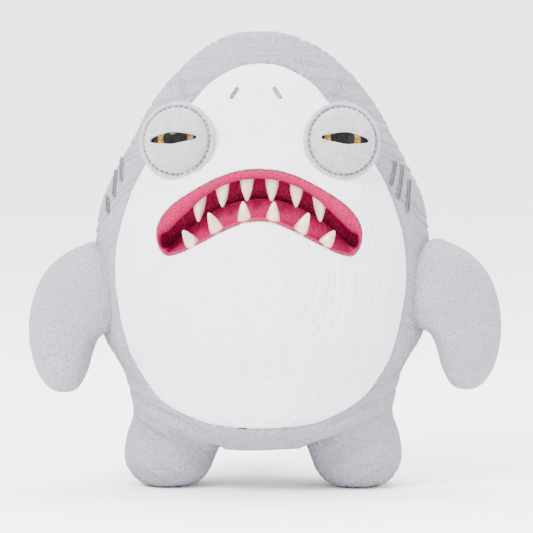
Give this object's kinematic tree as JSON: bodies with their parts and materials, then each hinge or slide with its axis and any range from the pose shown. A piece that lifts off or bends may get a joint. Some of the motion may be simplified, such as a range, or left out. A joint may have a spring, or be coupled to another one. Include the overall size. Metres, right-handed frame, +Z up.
{
  "type": "plush shark",
  "caption": "Standing plush shark, nose up, with two arms, short legs, a frowning open mouth with plastic teeth, half-closed eyes, a dorsal fin and a tail.",
  "frame": {"origin": "on the floor, under the middle of the bounding box", "axes": "+Z up to the snout tip, -Y towards the front (belly and face), +X to the shark's own left"},
  "size_m": [0.2368, 0.1784, 0.23],
  "materials": {
    "grey_fleece": "curly micro-fleece, lavender grey",
    "white_plush": "short smooth minky pile, white",
    "pink_plush": "short plush, raspberry pink",
    "eye_felt": "grey felt",
    "tooth_plastic": "glossy ivory",
    "eye_plastic": "glossy dark with an amber ring",
    "washer_plastic": "moulded white",
    "grey_thread": "embroidery thread",
    "dark_thread": "sewing thread",
    "stuffing": "white polyester fibre"
  },
  "bodies": {
    "body": {"back_panel_left": "grey_fleece", "back_panel_right": "grey_fleece", "belly_panel": "white_plush", "body_stuffing": "stuffing", "front_panel": "grey_fleece", "left_eye": "eye_plastic", "left_eye_patch": "eye_felt", "left_eye_patch_stitching": "dark_thread", "left_eye_washer": "washer_plastic", "left_gill_embroidery": "grey_thread", "left_lower_eyelid": "eye_felt", "left_sole": "grey_fleece", "left_upper_eyelid": "eye_felt", "lower_tooth_1": "tooth_plastic", "lower_tooth_2": "tooth_plastic", "lower_tooth_3": "tooth_plastic", "lower_tooth_4": "tooth_plastic", "lower_tooth_5": "tooth_plastic", "lower_tooth_6": "tooth_plastic", "lower_tooth_washers": "washer_plastic", "mouth_floor_lining": "pink_plush", "mouth_roof_lining": "pink_plush", "nostril_embroidery": "grey_thread", "right_eye": "eye_plastic", "right_eye_patch": "eye_felt", "right_eye_patch_stitching": "dark_thread", "right_eye_washer": "washer_plastic", "right_gill_embroidery": "grey_thread", "right_lower_eyelid": "eye_felt", "right_sole": "grey_fleece", "right_upper_eyelid": "eye_felt", "upper_tooth_1": "tooth_plastic", "upper_tooth_2": "tooth_plastic", "upper_tooth_3": "tooth_plastic", "upper_tooth_4": "tooth_plastic", "upper_tooth_5": "tooth_plastic", "upper_tooth_6": "tooth_plastic", "upper_tooth_washers": "washer_plastic"},
    "left_arm": {"left_arm_back_panel": "grey_fleece", "left_arm_front_panel": "grey_fleece", "left_arm_stuffing": "stuffing"},
    "right_arm": {"right_arm_back_panel": "grey_fleece", "right_arm_front_panel": "grey_fleece", "right_arm_stuffing": "stuffing"},
    "dorsal_fin": {"dorsal_fin_left_panel": "grey_fleece", "dorsal_fin_right_panel": "grey_fleece", "dorsal_fin_stuffing": "stuffing"},
    "tail": {"tail_left_panel": "grey_fleece", "tail_right_panel": "grey_fleece", "tail_stuffing": "stuffing"}
  },
  "joints": [
    {"name": "left_arm_raise", "type": "hinge", "parent": "body", "child": "left_arm", "pos_m": [0.086, -0.02983, 0.1], "axis": [0, -1, 0], "range_deg": [-5, 60], "stiffness_Nm_per_rad": 0.03},
    {"name": "right_arm_raise", "type": "hinge", "parent": "body", "child": "right_arm", "pos_m": [-0.086, -0.02983, 0.1], "axis": [0, 1, 0], "range_deg": [-5, 60], "stiffness_Nm_per_rad": 0.03},
    {"name": "dorsal_fin_fold", "type": "hinge", "parent": "body", "child": "dorsal_fin", "pos_m": [0, 0.04917, 0.104], "axis": [0, -0.1149, 0.9934], "range_deg": [-30, 30], "stiffness_Nm_per_rad": 0.02},
    {"name": "tail_wag", "type": "hinge", "parent": "body", "child": "tail", "pos_m": [0, 0.03317, 0.042], "axis": [0, 0, 1], "range_deg": [-30, 30], "stiffness_Nm_per_rad": 0.02}
  ]
}
